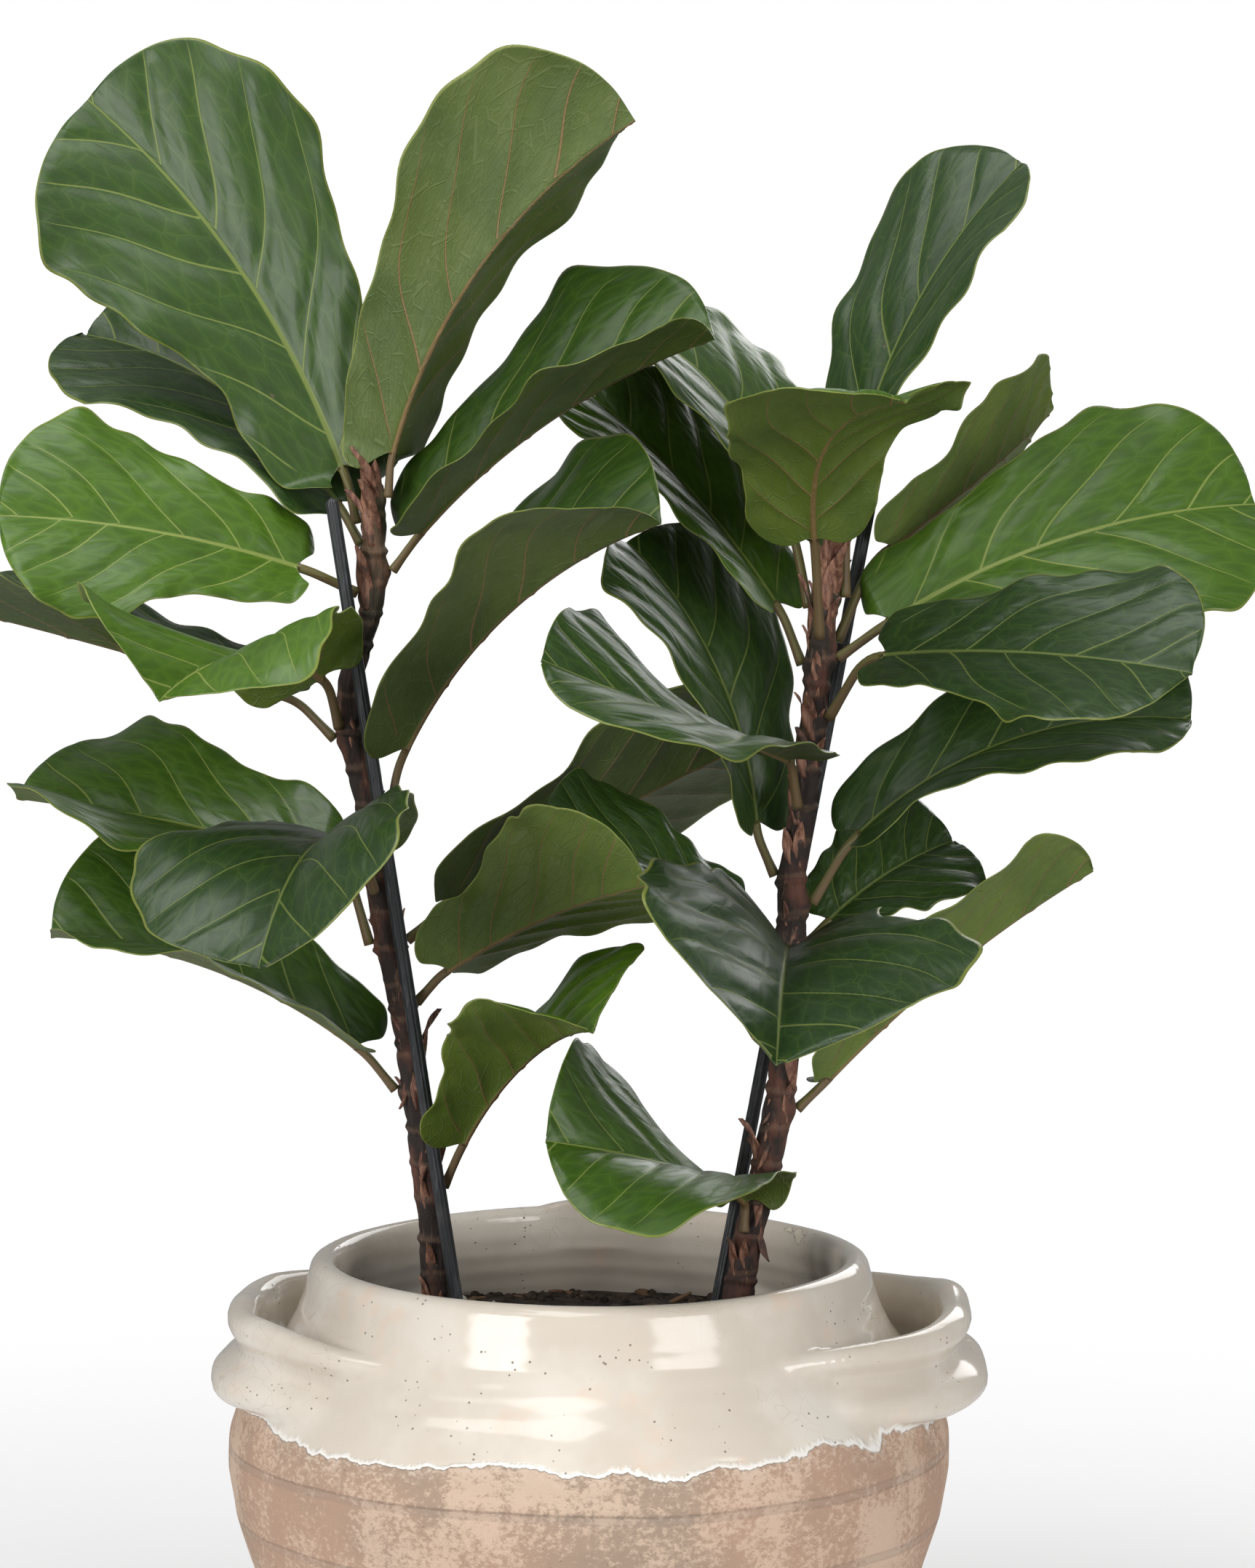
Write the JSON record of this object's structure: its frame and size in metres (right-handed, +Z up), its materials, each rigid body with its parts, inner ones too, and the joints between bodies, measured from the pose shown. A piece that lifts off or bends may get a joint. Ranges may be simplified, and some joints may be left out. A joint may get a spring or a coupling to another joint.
{
  "type": "potted fiddle leaf fig",
  "caption": "Fiddle leaf fig with large lyre-shaped leaves on staked stems, planted in a wide terracotta pot with a glazed neck and strap handles.",
  "frame": {"origin": "middle of the pot's flat foot, on the surface it stands on", "axes": "+Z up, +X towards the pot's right-hand handle, -Y towards the front"},
  "size_m": [0.7689, 0.4546, 1.0376],
  "materials": {
    "glazed_pot": "gloss glaze on the neck, bare terracotta below",
    "soil": "matte",
    "bark": "matte",
    "stake": "satin",
    "leaf": "satin"
  },
  "bodies": {
    "root": {"pot": "glazed_pot", "soil": "soil", "left_stem": "bark", "right_stem": "bark", "left_stake": "stake", "right_stake": "stake", "left_leaf_1": "leaf", "left_leaf_2": "leaf", "left_leaf_3": "leaf", "left_leaf_4": "leaf", "left_leaf_5": "leaf", "left_leaf_6": "leaf", "left_leaf_7": "leaf", "left_leaf_8": "leaf", "left_leaf_9": "leaf", "left_leaf_10": "leaf", "left_leaf_11": "leaf", "left_leaf_12": "leaf", "left_leaf_13": "leaf", "left_leaf_14": "leaf", "right_leaf_1": "leaf", "right_leaf_2": "leaf", "right_leaf_3": "leaf", "right_leaf_4": "leaf", "right_leaf_5": "leaf", "right_leaf_6": "leaf", "right_leaf_7": "leaf", "right_leaf_8": "leaf", "right_leaf_9": "leaf", "right_leaf_10": "leaf", "right_leaf_11": "leaf", "right_leaf_12": "leaf", "right_leaf_13": "leaf", "right_leaf_14": "leaf", "right_leaf_15": "leaf"}
  },
  "joints": []
}
